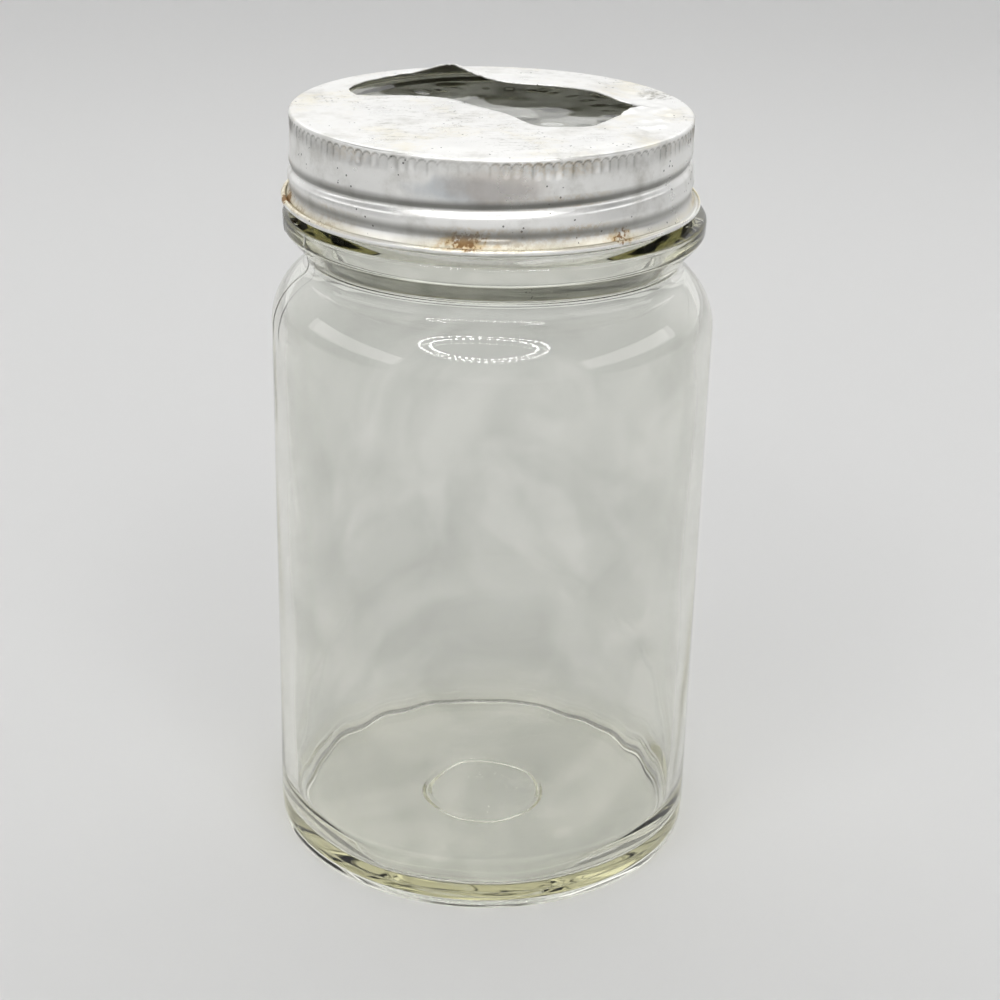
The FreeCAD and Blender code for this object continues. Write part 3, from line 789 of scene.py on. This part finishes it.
def dirtyEdge(tree, p, place, height, colour, noises):
    # where the rolled edge meets the skirt: yellowish metal, brown grime and rust
    # spots with wider halos; also the mask of grime and rust
    mottle, cloud, dust, patchy = noises
    top = cap["top"] * mm
    band = times(tree, ramp(tree, height, *(top - depth for depth in p["grimeStart"])),
                 ramp(tree, height, *(top - depth for depth in reversed(p["grimeEnd"]))))
    colour = mixColour(tree, times(tree, band, ramp(tree, cloud, 0.3, 0.6)), colour, p["warm"])
    fine = highest(tree, [ramp(tree, mottle, 0.40, 0.62), 0.3])
    grime = times(tree, band, patchy, fine, ramp(tree, dust, 0.42, 0.6))
    colour = mixColour(tree, grime, colour, p["grime"])
    halo = highest(tree, [
        addMask(tree, blotGroup, place, Centre=belowTop(centre), Stretch=(2.4, 1.0, 0.8),
                Radius=1.1 * radius, Roughness=0.0012, Grain=700.0, Soft=0.0012)
        for centre, radius in p["rustSpots"]])
    rust = highest(tree, [
        addMask(tree, blotGroup, place, Centre=belowTop(centre), Stretch=(1.5, 1.0, 0.8),
                Radius=radius, Roughness=0.0012, Grain=1400.0)
        for centre, radius in p["rustSpots"]])
    colour = mixColour(tree, times(tree, halo, p["haloing"]), colour, p["halo"])
    colour = mixColour(tree, times(tree, rust, p["rusting"]), colour, p["rust"])
    return colour, highest(tree, [grime, rust])


def makeCapMetal(p):
    # thin worn aluminium: bare and dull metal mottled together, then wear, stains,
    # grime, rust, specks, painted shade in the hollows and on the inner side, in that order
    material, tree, shader = newMaterial("wornAluminium")
    shader.inputs["Metallic"].default_value = 1.0
    place = addNode(tree, "TexCoord").outputs["Object"]
    height = addNode(tree, "SeparateXYZ", {}, Vector=place).outputs["Z"]
    mottle = noise(tree, place, 95.0, 5.0, Roughness=0.65)
    cloud = noise(tree, place, 28.0, 3.0)
    dust = noise(tree, place, 900.0, 4.0, Roughness=0.7)
    patchy = ramp(tree, cloud, 0.42, 0.66)
    colour = mixColour(tree, ramp(tree, mottle, p["dullFrom"], p["dullTo"]), (*p["bare"], 1.0), p["dull"])
    colour = wornTop(tree, p, place, height, colour, cloud, dust)
    colour = stainedBand(tree, p, place, colour)
    colour, dirtAndShade = dirtyEdge(tree, p, place, height, colour, (mottle, cloud, dust, patchy))
    specks = addMask(tree, speckGroup, place, Scale=700.0, Size=0.16, Share=0.585)
    colour = mixColour(tree, times(tree, specks, p["specking"]), colour, p["speck"])
    # brown stains along the edges of the painted shade in the hollows, where it is neither 0 nor 1
    paintedShade = addNode(tree, "Attribute", {"attribute_name": "paintedShade"}).outputs["Fac"]
    margin = times(tree, paintedShade, maths(tree, "SUBTRACT", 1.0, paintedShade), 4.0)
    margin = times(tree, margin, patchy, ramp(tree, dust, 0.38, 0.6), p["staining"])
    colour = mixColour(tree, margin, colour, p["halo"])
    # painted shade: the thread, waist and knurls darkened as if shaded
    colour = mixColour(tree, times(tree, paintedShade, spread(tree, cloud, 0.75, 1.0)), colour, p["paintedShade"])
    # painted shade: the inner face darkened as if unlit
    under = addNode(tree, "Attribute", {"attribute_name": "inside"}).outputs["Fac"]
    colour = mixColour(tree, under, colour, p["under"])
    tree.links.new(colour, shader.inputs["Base Color"])
    # dirt, and the painted shade of the inner face, aren't metal and are rougher
    dirtAndShade = highest(tree, [dirtAndShade, times(tree, under, 0.85)])
    tree.links.new(maths(tree, "SUBTRACT", 1.0, dirtAndShade, True), shader.inputs["Metallic"])
    rough = maths(tree, "ADD", spread(tree, mottle, p["smooth"], p["rough"]), times(tree, dirtAndShade, 0.3), True)
    tree.links.new(rough, shader.inputs["Roughness"])
    scratches = addMask(tree, scratchGroup, place, Turn=0.5, Scale=160.0, Thin=0.006)
    relief = maths(tree, "SUBTRACT", mottle, times(tree, scratches, 0.5))
    bump = addNode(tree, "Bump", {}, Strength=0.25, Distance=0.0004, Height=relief)
    tree.links.new(bump.outputs[0], shader.inputs["Normal"])
    return material


for piece, node, slot, material in (
        (jarGlass, "jar", "jar_glass", makeGlass("clearJarGlass", glass)),
        (linerGlass, "liner", "liner_glass", makeGlass("clearLinerGlass", glass)),
        (tornCap, "cap", "cap_metal", makeCapMetal(metal))):
    piece.data.materials.append(material)
    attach(piece, "root")
    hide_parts(node)
print("materials made")


floor = {"half": 3.0, "colour": (0.60, 0.60, 0.596), "roughness": 0.85}


def makeFloor(p):
    # one flat square round the origin
    half = p["half"]
    corners = [(-half, -half, 0), (half, -half, 0), (half, half, 0), (-half, half, 0)]
    mesh = bpy.data.meshes.new("floor")
    mesh.from_pydata(corners, [], [(0, 1, 2, 3)])
    ground = bpy.data.objects.new("floor", mesh)
    bpy.context.scene.collection.objects.link(ground)
    material, _, shader = newMaterial("paleFloor")
    shader.inputs["Base Color"].default_value = (*p["colour"], 1.0)
    shader.inputs["Roughness"].default_value = p["roughness"]
    mesh.materials.append(material)


room = {
    # pale in front and behind, dark at the sides, half pale overhead
    "front": (0.85, 0.85, 0.85), "side": (0.15, 0.15, 0.153),
    "back": (0.88, 0.88, 0.88), "top": (0.42, 0.42, 0.42),
    # rows of small lights in an oval high in front, seen in the shoulder's gloss:
    # where it is in degrees, its size, its rows, and how thin, many and bright they are
    "ringElevation": 57.0, "ringAside": -6.0, "ringWide": 0.50, "ringLong": 0.40, "ringRows": (1.0, 0.80),
    "ringThin": 0.028, "ringDots": 46.0, "ringGap": 0.2, "ringLight": 36.0,
}


def ringMask(tree, p, view):
    # 1 where a direction meets one of the oval's lights: seen flat from the jar, the
    # distance out from its middle is near a row's and the sine of the turn round it,
    # times the number of lights, is above the gap's
    elevation, aside = math.radians(p["ringElevation"]), math.radians(p["ringAside"])
    flat = math.cos(elevation)
    centre = (math.sin(aside) * flat, -math.cos(aside) * flat, math.sin(elevation))
    level = (math.cos(aside), math.sin(aside), 0.0)
    upright = tuple(Vector(centre).cross(Vector(level)))
    straight, wide, long = (vectorMaths(tree, "DOT_PRODUCT", view, axis)["Value"]
                            for axis in (centre, level, upright))
    across = maths(tree, "DIVIDE", maths(tree, "DIVIDE", wide, straight), p["ringWide"])
    along = maths(tree, "DIVIDE", maths(tree, "DIVIDE", long, straight), p["ringLong"])
    squares = maths(tree, "ADD", times(tree, across, across), times(tree, along, along))
    out = maths(tree, "SQRT", squares)
    gaps = [maths(tree, "ABSOLUTE", maths(tree, "SUBTRACT", out, row)) for row in p["ringRows"]]
    rows = highest(tree, [maths(tree, "LESS_THAN", gap, p["ringThin"]) for gap in gaps])
    dots = maths(tree, "SINE", times(tree, maths(tree, "ARCTAN2", along, across), p["ringDots"]))
    dots = maths(tree, "GREATER_THAN", dots, p["ringGap"])
    return times(tree, rows, dots, maths(tree, "GREATER_THAN", straight, 0.1))


def makeRoom(p):
    # the world: smooth mixes of the four tones by how far a direction points back or
    # up, and the oval of lights over them
    world = bpy.data.worlds.new("studio")
    world.use_nodes = True
    bpy.context.scene.world = world
    tree = world.node_tree
    view = addNode(tree, "TexCoord").outputs["Generated"]
    way = addNode(tree, "SeparateXYZ", {}, Vector=view).outputs
    colour = mixColour(tree, ramp(tree, way["Y"], -0.35, -0.85), (*p["side"], 1.0), p["front"])
    colour = mixColour(tree, ramp(tree, way["Y"], 0.1, 0.8), colour, p["back"])
    colour = mixColour(tree, ramp(tree, way["Z"], 0.5, 0.95), colour, p["top"])
    colour = mixColour(tree, ringMask(tree, p, view), colour, (p["ringLight"],) * 3)
    tree.links.new(colour, tree.nodes["Background"].inputs["Color"])
    tree.nodes["Background"].inputs["Strength"].default_value = 1.0


lamps = {
    "above": {"place": (0.0, 0.42, 0.78), "aim": (0.0, 0.0, 0.12), "size": (1.2, 0.8), "watts": 2.2},
    "left": {"place": (-0.75, -0.15, 0.4), "aim": (0.0, 0.0, 0.1), "size": (0.9, 0.22), "watts": 0.85},
    "right": {"place": (0.75, -0.15, 0.4), "aim": (0.0, 0.0, 0.1), "size": (0.9, 0.22), "watts": 0.85},
}


def makeLamp(name, p):
    # a rectangle that shines from its place towards its aim
    lamp = bpy.data.lights.new(name, "AREA")
    lamp.shape = "RECTANGLE"
    lamp.size, lamp.size_y = p["size"]
    lamp.energy = p["watts"]
    light = bpy.data.objects.new(name, lamp)
    light.location = p["place"]
    light.rotation_euler = (Vector(p["aim"]) - Vector(p["place"])).to_track_quat("-Z", "Y").to_euler()
    bpy.context.scene.collection.objects.link(light)


# distances in metres, angles in degrees, lens in millimetres
camera = {"distance": 0.4425, "height": 0.2744, "down": 23.665, "roll": 1.383, "aside": 0.349,
          "lens": 74.41, "sensor": 36.0}


def makeCamera(p):
    # in front of the jar, looking back and down, turned a little aside and rolled
    down, roll, aside = (math.radians(p[key]) for key in ("down", "roll", "aside"))
    forward = Vector((math.sin(aside) * math.cos(down), math.cos(aside) * math.cos(down), -math.sin(down)))
    level = Vector((math.cos(aside), -math.sin(aside), 0.0))
    upright = level.cross(forward)
    right = math.cos(roll) * level + math.sin(roll) * upright
    up = math.cos(roll) * upright - math.sin(roll) * level
    data = bpy.data.cameras.new("camera")
    data.lens, data.sensor_width = p["lens"], p["sensor"]
    viewer = bpy.data.objects.new("camera", data)
    viewer.matrix_world = Matrix((right, up, -forward)).transposed().to_4x4()
    viewer.location = (0.0, -p["distance"], p["height"])
    bpy.context.scene.collection.objects.link(viewer)
    bpy.context.scene.camera = viewer


# light that is caught in the thick foot and bead goes round many times
bounces = {"max_bounces": 40, "transmission_bounces": 24, "glossy_bounces": 16}

makeFloor(floor)
makeRoom(room)
for name, lamp in lamps.items():
    makeLamp(name, lamp)
makeCamera(camera)
for name, count in bounces.items():
    setattr(bpy.context.scene.cycles, name, count)
bpy.context.scene.view_settings.view_transform = "Standard"
print("studio made")
